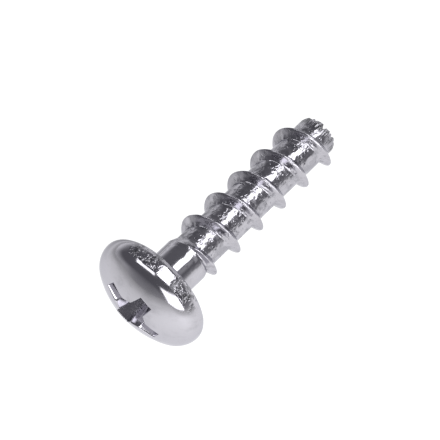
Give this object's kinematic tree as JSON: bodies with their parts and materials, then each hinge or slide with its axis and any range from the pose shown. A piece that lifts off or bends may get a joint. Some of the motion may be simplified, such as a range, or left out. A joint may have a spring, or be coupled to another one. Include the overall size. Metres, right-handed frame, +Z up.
{
  "type": "pan head thread-forming screw",
  "caption": "Pan head screw with a cross recess, a plain neck, a coarse sharp thread and a blunt torn tip, for fastening into plastic.",
  "frame": {"origin": "under the middle of the lying screw, on the surface it lies on", "axes": "+X runs level from the head towards the tip, +Z up, +Y across"},
  "size_m": [0.0192, 0.0084, 0.0083],
  "materials": {
    "plating": "bright zinc plated steel, thread rolled"
  },
  "bodies": {
    "root": {"screw": "plating"}
  },
  "joints": []
}
